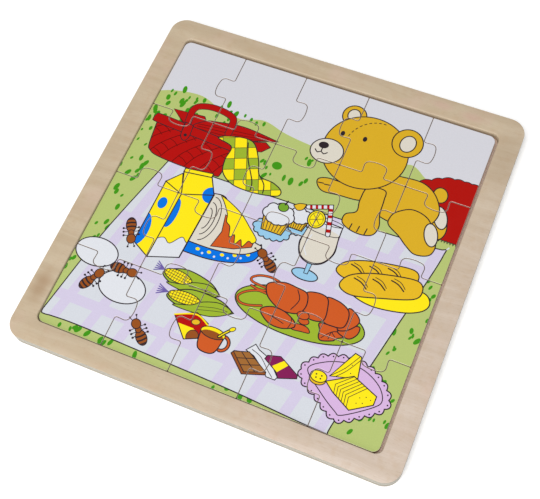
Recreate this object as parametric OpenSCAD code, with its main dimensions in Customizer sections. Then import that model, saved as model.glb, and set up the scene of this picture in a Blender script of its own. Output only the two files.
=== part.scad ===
// Tray jigsaw: loose interlocking plywood pieces with a printed face, lying in a
// shallow rimmed tray. The origin is at the middle of the tray's underside, with
// +X to the right, +Y to the back and +Z up. All sizes are in millimetres.

/* [Tray] */
// Width of the tray, left to right
tray_w = 300; // [240:1:400]
// Depth of the tray, front to back
tray_d = 300; // [240:1:400]
// Width of the rim all round the window
rim_w = 17; // [12:0.5:30]
// Thickness of the rim board
rim_t = 7; // [5:0.25:12]
// Thickness of the base board
base_t = 4; // [2:0.25:6]
// Radius of the tray's outer corners
outer_r = 13; // [3:0.5:25]
// Radius of the window's corners, which the puzzle's own four corners share
window_r = 5.5; // [3:0.5:12]

/* [Pieces] */
// Number of pieces in a row
columns = 5; // [2:1:6]
// Number of rows of pieces
rows = 4; // [2:1:4]
// Thickness of the plywood of a piece
ply_t = 4.7; // [3:0.1:6]
// Thickness of the printed paper on a piece
paper_t = 0.3; // [0.1:0.05:0.5]
// Width of the cut between neighbouring pieces
kerf = 0.4; // [0.2:0.05:0.8]
// Amount trimmed off the border pieces, so that the puzzle drops into the window
border_play = 1.25; // [0.9:0.05:2]
// How far the saw pattern lies to the right of the puzzle's middle
saw_shift_x = 1.1; // [-1.5:0.1:1.5]
// How far the saw pattern lies behind the puzzle's middle
saw_shift_y = 0.3; // [-1.5:0.1:1.5]
// Gap left at the left side of the window, where the loose puzzle has slid over
left_gap = 0.3; // [0.2:0.05:0.9]
// Gap left at the front side of the window
front_gap = 0.7; // [0.3:0.05:0.9]
// Radius of every corner inside the puzzle
corner_r = 0.8; // [0.4:0.1:2]

/* [Knobs] */
// How far a knob stands out of its piece
knob_h = 11.5; // [10:0.25:13]
// Width of a knob at its widest
knob_w = 17.8; // [14:0.2:20]
// Radius of a knob's two shoulders
shoulder_r = 4; // [2.5:0.25:5]
// Radius of the shallow arc across a knob's end
end_r = 24; // [16:1:60]
// Radius of the fillet at each side of a knob's root
root_r = 1.8; // [1:0.1:2.5]
// How far each flank of a knob leans outwards, in degrees
flare = 4; // [0:1:8]

/* [Hidden] */
window_w = tray_w - 2 * rim_w;
window_d = tray_d - 2 * rim_w;
pitch_x = window_w / columns;
pitch_y = window_d / rows;
half_cut = kerf / 2;
// How far the loose puzzle lies from the window's middle
puzzle_x = left_gap - border_play;
puzzle_y = front_gap - border_play;
saw_shift = [saw_shift_x, saw_shift_y];
floor_z = base_t;
paper_z = floor_z + ply_t;
// How far a cutting shape runs past the faces that it cuts
over = 1;
round_fn = 96;

// Main printed colour of each piece, back row first
print_tints = [
    ["gainsboro", "gainsboro", "gainsboro", "goldenrod", "firebrick"],
    ["firebrick", "yellowgreen", "darkkhaki", "goldenrod", "firebrick"],
    ["lavender", "yellow", "gainsboro", "chocolate", "goldenrod"],
    ["lavender", "yellowgreen", "lavender", "sienna", "thistle"],
];

// A cell's name is a letter for its row, from the back, and a number for its column
function cell_name(r, c) = str(chr(ord("a") + r), c + 1);
function piece_name(r, c) = str("piece_", cell_name(r, c));
function picture_name(r, c) = str("picture_", cell_name(r, c));

// Points along an arc, both ends included
function arc(centre, radius, from, to, steps) =
    [for (i = [0:steps]) let (a = from + (to - from) * i / steps)
        centre + radius * [cos(a), sin(a)]];

// ---- Knob outline, in a side's own frame: [along the side, out of the piece] ----
// The end arc's centre, and the angle at which it meets a shoulder
end_centre = [0, knob_h - end_r];
shoulder_x = knob_w / 2 - shoulder_r;
shoulder_y = end_centre.y + sqrt(pow(end_r - shoulder_r, 2) - pow(shoulder_x, 2));
shoulder_centre = [shoulder_x, shoulder_y];
end_angle = atan2(shoulder_y - end_centre.y, shoulder_x);
// Where the leaning flank leaves the shoulder, and where it meets the root fillet
flank_top = shoulder_centre + shoulder_r * [cos(flare), -sin(flare)];
flank_foot_y = root_r * (1 + sin(flare));
flank_foot_x = flank_top.x - (flank_top.y - flank_foot_y) * tan(flare);
root_centre = [flank_foot_x + root_r * cos(flare), root_r];

// Right half of a knob, root to end, drawn in by gap from the middle of the cut
function half_knob(gap) = concat(
    arc(root_centre, root_r + gap, 270, 180 - flare, 5),
    arc(shoulder_centre, shoulder_r - gap, -flare, end_angle, 6),
    arc(end_centre, end_r - gap, end_angle + (90 - end_angle) / 3, 90, 2)
);

// A whole knob, from its left root to its right root
function knob(gap) = let (half = half_knob(gap), last = len(half) - 1) concat(
    [for (p = half) [-p.x, p.y]],
    [for (i = [last - 1:-1:0]) half[i]]
);

// A socket is its neighbour's knob turned inwards, with the cut's other half taken off
function socket() = [for (p = knob(-half_cut)) [p.x, -p.y]];

// ---- Pieces. Sides run anticlockwise: 0 front, 1 right, 2 back, 3 left ----
function cell_centre(r, c) = [
    (c - (columns - 1) / 2) * pitch_x + puzzle_x + saw_shift.x,
    ((rows - 1) / 2 - r) * pitch_y + puzzle_y + saw_shift.y
];
function is_border(r, c, side) =
    side == 0 ? r == rows - 1 : side == 1 ? c == columns - 1 : side == 2 ? r == 0 : c == 0;
function side_reach(side) = side % 2 == 0 ? pitch_y / 2 : pitch_x / 2;
function along(side) = [cos(90 * side), sin(90 * side)];
function outward(side) = along(side - 1);
// The outside of the puzzle stays where it is when the saw pattern shifts
function side_inset(r, c, side) =
    is_border(r, c, side) ? border_play + saw_shift * outward(side) : half_cut;

// Every second piece has its knobs front and back, and the others left and right
function side_points(r, c, side) =
    is_border(r, c, side) ? [] :
    [for (p = (r + c + side) % 2 == 0 ? knob(half_cut) : socket())
        cell_centre(r, c) + p.x * along(side) + (side_reach(side) + p.y) * outward(side)];

// The rounded corner between a side and the next one
function corner_points(r, c, side) =
    let (next = (side + 1) % 4,
         outermost = is_border(r, c, side) && is_border(r, c, next),
         radius = outermost ? window_r : corner_r,
         centre = cell_centre(r, c)
             + (side_reach(side) - side_inset(r, c, side) - radius) * outward(side)
             + (side_reach(next) - side_inset(r, c, next) - radius) * outward(next))
    arc(centre, radius, 90 * side - 90, 90 * side, outermost ? 8 : 3);

function piece_outline(r, c) =
    [for (side = [0:3]) each concat(side_points(r, c, side), corner_points(r, c, side))];

// ---- Tray ----
// A plate with rounded corners, centred on the origin
module rounded_plate(width, depth, radius, thickness) {
    linear_extrude(thickness) {
        square([width - 2 * radius, depth], center = true);
        square([width, depth - 2 * radius], center = true);
        for (x = [-1, 1], y = [-1, 1])
            translate([x * (width / 2 - radius), y * (depth / 2 - radius)])
                circle(radius, $fn = round_fn);
    }
}

module tray_base() {
    color("rosybrown") rounded_plate(tray_w, tray_d, outer_r, base_t);
}

module tray_rim() {
    color("burlywood") translate([0, 0, floor_z]) difference() {
        rounded_plate(tray_w, tray_d, outer_r, rim_t);
        translate([0, 0, -over]) rounded_plate(window_w, window_d, window_r, rim_t + 2 * over);
    }
}

module piece(r, c) {
    color("wheat") translate([0, 0, floor_z])
        linear_extrude(ply_t) polygon(piece_outline(r, c));
}

module picture(r, c) {
    tints = print_tints[r % len(print_tints)];
    color(tints[c % len(tints)]) translate([0, 0, paper_z])
        linear_extrude(paper_t) polygon(piece_outline(r, c));
}

tray_base();
tray_rim();
for (r = [0:rows - 1], c = [0:columns - 1])
    piece(r, c);
for (r = [0:rows - 1], c = [0:columns - 1])
    picture(r, c);
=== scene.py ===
"""A wooden tray jigsaw. Twenty loose plywood pieces, each with its own cut of one printed
picture, lie in a shallow tray of two boards: a base, and a rim with a round-cornered window.
Lengths are in metres. The picture is drawn in its own units, 264 across the whole sheet."""

import math
import random

import bmesh
import bpy
import numpy as np
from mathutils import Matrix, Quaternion, Vector
from mathutils.geometry import delaunay_2d_cdt


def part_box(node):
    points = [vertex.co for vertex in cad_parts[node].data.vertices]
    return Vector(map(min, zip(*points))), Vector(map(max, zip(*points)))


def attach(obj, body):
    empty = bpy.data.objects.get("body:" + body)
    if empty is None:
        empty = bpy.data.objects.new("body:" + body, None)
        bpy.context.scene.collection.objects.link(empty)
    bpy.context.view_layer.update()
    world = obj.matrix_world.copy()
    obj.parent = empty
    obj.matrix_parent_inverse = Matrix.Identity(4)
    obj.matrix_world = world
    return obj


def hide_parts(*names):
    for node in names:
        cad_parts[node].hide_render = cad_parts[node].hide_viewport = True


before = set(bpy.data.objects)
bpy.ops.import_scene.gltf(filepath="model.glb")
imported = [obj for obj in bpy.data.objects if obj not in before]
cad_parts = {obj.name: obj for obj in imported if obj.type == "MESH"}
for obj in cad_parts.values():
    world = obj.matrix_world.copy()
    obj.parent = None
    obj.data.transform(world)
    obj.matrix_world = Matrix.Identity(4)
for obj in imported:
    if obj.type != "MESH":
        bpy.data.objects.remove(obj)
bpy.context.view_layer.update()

MM = 0.001

# ---------------------------------------------------------------- measures from the frame
CELLS = sorted(name[len("piece_"):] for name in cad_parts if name.startswith("piece_"))
BASE_LOW, BASE_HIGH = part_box("tray_base")
RIM_LOW, RIM_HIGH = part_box("tray_rim")
PAPER_LOW, PAPER_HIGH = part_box("picture_" + CELLS[0])


def whole_sheet():
    """Lowest and highest corner of all the printed sheets together."""
    boxes = [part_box("picture_" + cell) for cell in CELLS]
    low = Vector([min(b[0][i] for b in boxes) for i in range(3)])
    high = Vector([max(b[1][i] for b in boxes) for i in range(3)])
    return low, high


def rim_measures():
    """Window half width, half depth and corner radius, and the rim's outer corner radius."""
    spots = [v.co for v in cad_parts["tray_rim"].data.vertices]
    half = RIM_HIGH.x
    flat_x = max(abs(p.x) for p in spots if abs(abs(p.y) - RIM_HIGH.y) < 1e-6)
    window = [p for p in spots if abs(p.x) < half * 0.95 and abs(p.y) < RIM_HIGH.y * 0.95]
    wide, deep = max(p.x for p in window), max(p.y for p in window)
    flat_window = max(abs(p.x) for p in window if abs(abs(p.y) - deep) < 1e-6)
    return wide, deep, wide - flat_window, half - flat_x


WINDOW_X, WINDOW_Y, WINDOW_R, OUTER_R = rim_measures()
SHEET_LOW, SHEET_HIGH = whole_sheet()
SHEET_UNITS = 264.0
SHEET_MIDDLE = (SHEET_LOW + SHEET_HIGH) / 2
UNIT_X = (SHEET_HIGH.x - SHEET_LOW.x) / SHEET_UNITS
UNIT_Y = (SHEET_HIGH.y - SHEET_LOW.y) / SHEET_UNITS

# ---------------------------------------------------------------- drawing tools
COLOURS = {
    "ink": (46, 36, 42),
    "sky": (213, 213, 220),
    "meadow": (181, 196, 117),
    "grass": (64, 150, 20),
    "hedge": (176, 16, 8),
    "hamper": (180, 12, 8),
    "hamper_line": (100, 8, 6),
    "butter": (253, 231, 22),
    "leaf": (155, 181, 48),
    "linen": (212, 216, 223),
    "lavender": (210, 202, 226),
    "gold": (218, 174, 38),
    "blue": (0, 115, 225),
    "cream": (220, 214, 200),
    "orange": (205, 90, 35),
    "ice": (150, 200, 230),
    "crust": (230, 185, 35),
    "plum": (130, 25, 85),
    "chocolate": (160, 105, 50),
    "brown": (150, 80, 30),
    "orchid": (214, 180, 222),
    "china": (222, 225, 231),
    "violet": (110, 95, 165),
    "apple": (115, 165, 45),
}
LINE = 0.9
inks = []
chance = random.Random(20)


def lay(outline, colour, within=None):
    """Prints a filled outline over what is there, only inside the ink within if one is given.
    Gives the ink's number."""
    points = np.array(outline, float)
    keep = np.linalg.norm(points - np.roll(points, 1, axis=0), axis=1) > 0.02
    points = points[keep]
    inks.append((points, colour, within))
    return len(inks) - 1


def box(x0, y0, x1, y1):
    return [(x0, y0), (x1, y0), (x1, y1), (x0, y1)]


def oval(x, y, rx, ry=None, turn=0.0, start=0.0, end=360.0):
    """Points round an oval, or round a part of one, anticlockwise."""
    ry = ry or rx
    share = (end - start) / 360
    steps = 8 + int(9 * math.sqrt(max(rx, ry)) * share)
    count = steps if share == 1 else steps + 1
    c, s = math.cos(math.radians(turn)), math.sin(math.radians(turn))
    points = []
    for i in range(count):
        a = math.radians(start + (end - start) * i / steps)
        u, v = rx * math.cos(a), ry * math.sin(a)
        points.append((x + u * c - v * s, y + u * s + v * c))
    return points


def curve(points, closed=True):
    """A smooth line through the points. A point given twice makes a corner."""
    count = len(points)
    line = []
    for i in range(count if closed else count - 1):
        near = [(i + k) % count if closed else min(max(i + k, 0), count - 1) for k in (-1, 0, 1, 2)]
        p, q, r, s = (points[k] for k in near)
        if q == r:
            continue
        steps = max(2, min(9, int(math.dist(q, r) / 1.5) + 1))
        for t in (j / steps for j in range(steps)):
            line.append(tuple(
                (2 * b + (c - a) * t + (2 * a - 5 * b + 4 * c - d) * t**2
                 + (3 * b - a - 3 * c + d) * t**3) / 2
                for a, b, c, d in zip(p, q, r, s)))
    return line if closed else line + [points[-1]]


def normals(points, closed):
    """Right-hand unit normal at each point of a line, and how much a mitre stretches there."""
    p = np.array(points, float)
    ahead, behind = np.roll(p, -1, axis=0) - p, p - np.roll(p, 1, axis=0)
    if not closed:
        ahead[-1], behind[0] = behind[-1], ahead[0]
    ahead /= np.linalg.norm(ahead, axis=1)[:, None] + 1e-12
    behind /= np.linalg.norm(behind, axis=1)[:, None] + 1e-12
    middle = ahead + behind
    middle /= np.linalg.norm(middle, axis=1)[:, None] + 1e-12
    stretch = 1 / np.maximum((middle * ahead).sum(1), 0.6)
    return np.column_stack([middle[:, 1], -middle[:, 0]]) * stretch[:, None]


def anticlockwise(points):
    p = np.array(points, float)
    x, y = p[:, 0], p[:, 1]
    area = (x * np.roll(y, -1) - y * np.roll(x, -1)).sum()
    return p if area > 0 else p[::-1]


def grow(outline, amount):
    """The outline moved outwards all round, or inwards if amount is below zero."""
    p = np.array(outline, float)
    p = anticlockwise(p[np.linalg.norm(p - np.roll(p, 1, axis=0), axis=1) > 1e-6])
    return p + normals(p, True) * amount


def shape(outline, colour, within=None, line=LINE):
    """A filled outline with an inked line round it."""
    lay(grow(outline, line / 2), "ink", within)
    return lay(grow(outline, -line / 2), colour, within)


def cluster(outlines, colour, line=LINE):
    """Several outlines that run together into one shape, with the line round the whole."""
    for outline in outlines:
        lay(grow(outline, line / 2), "ink")
    for outline in outlines:
        lay(grow(outline, -line / 2), colour)


def ribbon(points, width):
    """The outline of a line of that width, with round ends."""
    p = np.array(points, float)
    side = normals(p, False) * width / 2

    def cap(end, way):
        a = math.atan2(way[1], way[0])
        return [(end[0] + math.cos(a + t) * width / 2, end[1] + math.sin(a + t) * width / 2)
                for t in (math.pi * k / 5 for k in range(1, 5))]

    there = [tuple(spot) for spot in p + side]
    back = [tuple(spot) for spot in (p - side)[::-1]]
    return there + cap(p[-1], side[-1]) + back + cap(p[0], -side[0])


def band(start, end, width):
    """The outline of a straight stripe of that width, with square ends."""
    p = np.array([start, end], float)
    side = normals(p, False) * width / 2
    return [tuple(spot) for spot in p + side] + [tuple(spot) for spot in (p - side)[::-1]]


def stroke(points, width=LINE, colour="ink", within=None, smooth=True):
    """A line drawn through the points."""
    return lay(ribbon(curve(points, closed=False) if smooth else points, width), colour, within)


def pipe(points, width, colour):
    """A thick line with an inked line on both sides."""
    stroke(points, width + LINE)
    stroke(points, width - LINE, colour)


def scallops(line, count, height, closed=True):
    """A line with that many round bumps along it, which stand out to the right of it."""
    p = np.array(list(line) + ([line[0]] if closed else []), float)
    length = np.concatenate([[0], np.cumsum(np.linalg.norm(np.diff(p, axis=0), axis=1))])
    steps = count * 6
    s = np.linspace(0, length[-1], steps + 1)[:-1 if closed else None]
    even = np.column_stack([np.interp(s, length, p[:, 0]), np.interp(s, length, p[:, 1])])
    swell = height * np.abs(np.sin(np.pi * count * s / length[-1]))
    return even + normals(even, closed) * swell[:, None]


# ---------------------------------------------------------------- the picture: a picnic
def draw_land():
    lay(box(-140, -140, 140, 140), "sky")
    hills = curve([(-140, 76), (-122, 84), (-98, 87), (-78, 80), (-60, 78), (-42, 83), (-22, 78),
                   (2, 75), (40, 74), (66, 80), (80, 86), (96, 77), (116, 72), (140, 70)], closed=False)
    lay(hills + [(140, -140), (-140, -140)], "meadow")
    patches = [(-132, -124, -112, 78, 44), (-118, -70, -106, 20, 10), (104, -130, 132, 28, 46),
               (-130, -131, 96, -127, 18), (-30, 28, 14, 60, 7), (-110, 60, -60, 82, 12),
               (-130, 76, -50, 88, 12),
               (-24, 60, 8, 70, 3)]
    for x0, y0, x1, y1, count in patches:
        for _ in range(count):
            x, y = chance.uniform(x0, x1), chance.uniform(y0, y1)
            size = chance.uniform(0.8, 1.9)
            tall = size * chance.uniform(1.5, 2.2)
            lay(oval(x, y, size, tall, chance.uniform(-35, 10)), "grass")
    for x, y, rx, ry in [(-17, 49, 4, 3.4), (-2, 40, 2, 3.6), (-8, 41, 1.3, 3),
                         (-58, 82, 1, 1.8), (-52, 80, 1.2, 2.2), (-47, 78.5, 1.2, 2.2), (-41, 80, 1.2, 2.2)]:
        lay(oval(x, y, rx, ry), "grass")


def draw_hedge():
    lumps = [(97, 70, 9), (104, 76, 7), (111, 78, 8), (118, 80, 7), (124, 81, 6), (130, 79, 8), (138, 78, 9)]
    bushes = [oval(x, y, r) for x, y, r in lumps]
    cluster(bushes + [box(92, 34, 150, 76)], "hedge", line=0.7)
    fringe = [(112 + i * 1.1, 32.5 + 2.2 * (i % 2)) for i in range(26)]
    lay(fringe + [(140, 28), (112, 28)], "meadow")
    stroke(fringe, 0.6, smooth=False)


def draw_teddy():
    """A plain plush bear on all fours, with button eyes, cream pads and a seam over its head."""
    shape(oval(108, 69, 5.5, 6.5, 20), "gold")
    shape(oval(110, 46, 10, 15, 30), "gold")
    shape(oval(114, 51, 5, 9.5, 25), "cream")
    shape(curve([(60, 70), (78, 74), (94, 74), (106, 66), (112, 52), (104, 38), (84, 34), (62, 40),
                 (54, 54)]),
          "gold")
    shape(curve([(18, 45), (24, 41), (36, 42), (54, 44), (58, 54), (38, 53), (24, 53), (17, 50)]), "gold")
    shape(curve([(82, 44), (92, 50), (104, 48), (112, 40), (118, 28), (116, 19), (106, 16), (98, 20),
                 (90, 26), (80, 32), (79, 38)]), "gold")
    shape(oval(112, 35, 5, 9.5, 22), "cream")
    shape(curve([(55, 56), (53, 44), (54, 34), (47, 29), (47, 22), (54, 18), (64, 17), (72, 20), (74, 28),
                 (71, 38), (70, 50), (68, 58)]), "gold")
    for x in (54, 60, 66):
        stroke([(x, 18), (x + 0.5, 23)])
    for x in (22, 27):
        stroke([(x - 4, 47), (x, 47.5)])
    shape(oval(23, 112, 9.5), "gold")
    shape(oval(22.5, 112.5, 5, 5.5), "cream")
    shape(oval(42, 84, 33.5, 32), "gold")
    shape(oval(70, 103, 12, 12.5), "gold")
    shape(oval(70.5, 102.5, 6, 7.5, -10), "cream")
    shape(oval(14, 75, 13, 11, 10), "cream")
    lay(oval(10, 79, 4, 3, 10), "ink")
    stroke([(10, 77), (10, 73)])
    stroke([(5, 73.5), (7.5, 71.5), (10, 73), (12.5, 71.5), (15, 73.5)])
    for x, y in ((20, 94), (38, 95)):
        lay(oval(x, y, 1.7, 2.3), "ink")
    for i in range(9):
        a, b = math.radians(88 + i * 9), math.radians(92 + i * 9)
        stroke([(48 + 24 * math.cos(t), 86 + 27 * math.sin(t)) for t in (a, b)], 0.7)


def draw_hamper():
    """A red wicker hamper with its two lids ajar and a carrying handle."""
    shape([(-114, 68), (-100, 57), (-76, 56), (-88, 70)], "hamper", line=0.7)
    stroke([(-113, 67), (-100, 58), (-96, 62)], 0.5, "hamper_line", smooth=False)
    shape([(-56, 58), (-33, 65), (-28, 62), (-33, 56), (-54, 50)], "hamper", line=0.7)
    lid = shape(curve([(-92, 57), (-86, 66), (-76, 69), (-54, 72), (-24, 69), (-24, 69), (-44, 62),
                       (-56, 55)]),
                "hamper", line=0.7)
    for k in range(3):
        stroke([(-90, 58 + 2 * k), (-60, 60 + 3 * k), (-32, 67 + k)], 0.5, "hamper_line", within=lid)
    body = shape(curve([(-122, 54), (-122, 54), (-119, 32), (-116, 27), (-108, 24), (-84, 22.5), (-60, 23.5),
                        (-55, 27), (-55, 50), (-55, 50)]), "hamper", line=0.8)
    for k in range(-3, 8):
        foot = -120 + 11 * k
        band = curve([(foot, 16), (foot + 8, 34), (foot + 24, 50), (foot + 40, 58)], closed=False)
        stroke(band, 0.6, "hamper_line", within=body)
        if k % 2:
            continue
        for j in range(1, len(band) - 1, 3):
            x, y = band[j]
            stroke([(x, y), (x + 4, y - 1), (x + 8.5, y - 4)], 0.5, "hamper_line", within=body)
    shape(curve([(-126, 54), (-125, 59), (-121, 60), (-90, 58), (-60, 56), (-56, 55), (-56, 49), (-60, 48.5),
                 (-90, 50), (-122, 52)]), "hamper", line=0.7)
    handle = [(-97, 52), (-99, 66), (-99, 73), (-95, 77.5), (-84, 80), (-71, 78.5), (-65, 74.5), (-64, 62)]
    stroke(handle, 6)
    stroke(handle, 4.8, "hamper")
    shape(curve([(-100, 60), (-100, 60), (-93, 59), (-93, 59), (-92, 48), (-95, 44), (-99, 48)]),
          "hamper", line=0.7)
    lay(oval(-95.5, 49, 1.4), "ink")


def draw_check_cloth():
    """A yellow and green check cloth that spills out of the hamper."""
    cloth = shape(curve([(-70, 56), (-60, 61), (-48, 63), (-40, 60), (-32, 48), (-26, 36), (-14, 34),
                         (-6, 30),
                         (-6, 25), (-16, 22), (-30, 20.5), (-44, 22), (-54, 29), (-57, 40), (-57, 52)]),
                         "butter")
    cell = 9.5
    lean = math.radians(-22)
    along, across = (math.cos(lean), -math.sin(lean)), (math.sin(lean), math.cos(lean))

    def at(u, v):
        """The place of a corner of the check, counted in cells from the cloth's middle."""
        return (-38 + cell * (u * along[0] + v * across[0]), 38 + cell * (u * along[1] + v * across[1]))

    for i in range(-5, 6):
        for j in range(-4, 5):
            if (i + j) % 2:
                continue
            lay([at(i, j), at(i + 1, j), at(i + 1, j + 1), at(i, j + 1)], "leaf", within=cloth)
    for i in range(-5, 6):
        stroke([at(i, -6), at(i, 6)], 0.45, within=cloth, smooth=False)
        stroke([at(-6, i), at(6, i)], 0.45, within=cloth, smooth=False)
    stroke([(-46, 60), (-40, 46), (-30, 30), (-28, 22)], within=cloth)
    stroke([(-26, 36), (-20, 30), (-18, 23)], within=cloth)


def draw_tablecloth():
    cloth = shape(curve([(-98, 23), (-98, 23), (-50, 22.5), (40, 23.5), (118, 26), (126, 24), (112, -46),
                         (97, -120),
                         (95.5, -132), (95.5, -132), (70, -131), (20, -128), (-44, -126), (-100, -124.6),
                         (-122, -125.2), (-129, -125.8), (-131.5, -124), (-129.5, -112), (-117, -48)]),
                  "linen")
    for y in (7, -33, -71, -107.5):
        lay([(-140, y - 3), (140, y - 6.5), (140, y + 1.5), (-140, y + 5)], "lavender", within=cloth)
    for i in range(11):
        x = -125 + i * 26.5
        lay([(x - 4, -140), (x + 4, -140), (x + 40, 30), (x + 32, 30)], "lavender", within=cloth)


def draw_carton():
    """A plain drinks carton with round dots and a white wave along its foot."""
    side = shape([(-92, 6), (-93, -49), (-78, -57), (-76, 0)], "butter")
    front = shape([(-76, 0), (-78, -57), (-55, -49), (-52, 8)], "butter")
    shape([(-92, 6), (-82.5, 17), (-76, 0)], "butter")
    roof = shape([(-76, 0), (-82.5, 19), (-60, 22), (-52, 8)], "butter")
    shape([(-82.5, 18.5), (-82.5, 22), (-60, 25), (-60, 21.5)], "butter")
    lay(oval(-54, 7, 7), "blue", within=roof)
    lay(oval(-54, 7, 7), "blue", within=front)
    lay(oval(-86.5, -12, 3.6, 5), "blue", within=side)
    lay(oval(-94, -38, 8, 15), "blue", within=side)
    lay(oval(-76, -17, 4.5, 13), "blue", within=front)
    wave = curve([(-84, -60), (-80, -44), (-73, -38), (-67, -41), (-60, -33), (-54, -36), (-44, -28),
                  (-44, -60)])
    shape(wave, "china", within=front, line=0.6)
    stroke([(-52.4, 7.5), (-55.2, -49)], smooth=False)


def draw_cake():
    """A rolled cake with yellow icing on a blue dotted plate."""
    plate = shape(curve([(-60, -34), (-60, -34), (-20, -30), (-2, -23), (0, -25), (-4, -33), (-18, -39),
                         (-36, -42.5),
                         (-60, -43), (-60, -43)]), "blue")
    for x, y in [(-45, -37.5), (-36, -37), (-26, -35.5), (-17, -32.5), (-8, -28.5)]:
        lay(oval(x, y, 1.6, 1.3), "butter", within=plate)
    for x, y in [(-40.5, -39.5), (-31, -39), (-21, -36.5), (-12, -33)]:
        lay(oval(x, y, 0.9), "china", within=plate)
    shape(curve([(-58, 8), (-58, 8), (-44, 10), (-34, 0), (-10, -16), (-1, -19), (-6, -26), (-16, -31),
                 (-36, -34),
                 (-58, -34), (-58, -34)]), "cream")
    shape([(-37, -4), (-8, -14), (-8, -22), (-20, -28), (-37, -32), (-34, -18)], "orange", line=0.7)
    shape(curve([(-47, 10), (-47, 10), (-38, 7), (-26, 1), (-16, -7), (-7, -15), (-9, -19), (-12, -18),
                 (-15, -24),
                 (-18, -19), (-21, -24), (-24, -17), (-27, -20), (-30, -12), (-34, -9), (-36, -3), (-42, 5)]),
          "butter", line=0.7)
    for rx, ry in [(10, 19), (6.5, 14), (3.6, 9)]:
        stroke(oval(-50, -12, rx, ry, 0, -80, 90), 0.7)


def draw_cupcake(x, y, size):
    """A cupcake in a pleated case on a lacy paper mat."""
    shape(scallops(oval(x, y - 11 * size, 14 * size, 7.5 * size), 13, 1.4 * size), "ice")
    case = shape([(x - 11 * size, y), (x - 8 * size, y - 13 * size), (x + 8 * size, y - 13 * size),
                  (x + 11 * size, y)], "crust")
    lay(oval(x, y - 13 * size, 8 * size, 2.5 * size), "crust", within=case)
    for k in range(-3, 4):
        stroke([(x + 2.9 * size * k, y - 3 * size), (x + 2.3 * size * k, y - 12 * size)], 0.6)
    puffs = [(-8, 2), (-4, -1), (0, -2), (4, -1), (8, 2), (-6, 6), (6, 6), (0, 8), (-2, 4), (2, 4)]
    cluster([oval(x + dx * size, y + dy * size, 4.6 * size) for dx, dy in puffs], "china")


def draw_cupcakes():
    draw_cupcake(16, 13, 0.72)
    shape(curve([(8, 22), (8, 22), (12, 25), (17, 26), (17, 26), (16, 21), (12, 19)]), "crust", line=0.7)
    draw_cupcake(0.5, 8, 1.0)
    shape(oval(1.5, 17.5, 4, 3.6), "apple", line=0.7)
    stroke([(2, 20), (3, 23.5)], 1.2)


def draw_glass():
    """A milk shake in a stemmed glass, with a straw and a slice of lemon."""
    shape(oval(37, -28, 10, 4.4), "ice")
    shape([(35.3, -17), (35.8, -27), (38.6, -27), (39, -17)], "ice", line=0.6)
    shape(curve([(26, 18), (26, 18), (24.5, 4), (23.5, -5), (28, -15), (37, -18.5), (46, -15), (51, -5),
                 (50, 6),
                 (49.5, 17), (49.5, 17)]), "china")
    drink = shape(curve([(25, 9), (25, 9), (24, -5), (28.5, -14.5), (37, -17.5), (45.5, -14.5),
                         (50.5, -5), (49.5, 9),
                         (49.5, 9)]), "cream", line=0.7)
    lay(oval(37.3, 9.5, 12.3, 2.6), "cream")
    stroke(oval(37.3, 9.5, 12.3, 2.6, 0, 170, 370), 0.6)
    stroke(oval(38, 18, 12, 2.6), 0.6)
    stroke([(30, 4), (28, -6), (32, -13)], 0.8, "china", within=drink)
    straw = [(19, 24.5), (27, 27.5), (35, 30.5), (38, 20), (41, 8)]
    straw_wide = 2.8
    lay(ribbon(straw, 4.2), "ink")
    lay(ribbon(straw, straw_wide), "china")
    for (ax, ay), (bx, by) in zip(straw, straw[1:]):
        for t in (0.25, 0.75):
            start, end = [(ax + (bx - ax) * u, ay + (by - ay) * u) for u in (t - 0.11, t + 0.11)]
            lay(band(start, end, straw_wide), "hamper")
    slice_ = shape(oval(28.5, 17, 6.6, 7.4), "butter")
    for k in range(6):
        a = math.radians(60 * k + 20)
        stroke([(28.5, 17), (28.5 + 4.6 * math.cos(a), 17 + 5.2 * math.sin(a))],
               0.45, within=slice_, smooth=False)
    stroke(oval(28.5, 17, 5, 5.8, 0, 0, 350), 0.45)


def draw_loaf(x, y, length, thick, turn):
    """A long crusty loaf with slashes across it."""
    c, s = math.cos(math.radians(turn)), math.sin(math.radians(turn))

    def at(u, v):
        return x + u * c - v * s, y + u * s + v * c

    half = length / 2
    shape(curve([at(-half, -1), at(-half * 0.8, thick * 0.7), at(-half * 0.3, thick),
                 at(half * 0.4, thick * 0.9),
                 at(half * 0.9, thick * 0.6), at(half, -1), at(half * 0.8, -thick * 0.8), at(0, -thick * 0.9),
                 at(-half * 0.7, -thick * 0.8)]), "crust")
    for k in (-0.55, -0.1, 0.35):
        u = half * k
        stroke([at(u - 3, thick * 0.55), at(u + 2, thick * 0.25), at(u + 6, -thick * 0.25)], 1.0)
        stroke([at(u - 1, thick * 0.7), at(u + 4, thick * 0.4), at(u + 7, -thick * 0.1)], 0.6)


def draw_bread():
    shape(curve([(74, -28), (96, -24), (114, -12), (124, -11), (129, -17), (126, -24), (114, -30),
                 (94, -33.5),
                 (80, -32)]), "butter")
    draw_loaf(86, -8, 60, 9, 14)
    draw_loaf(92, -17, 60, 10, 17)


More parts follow.
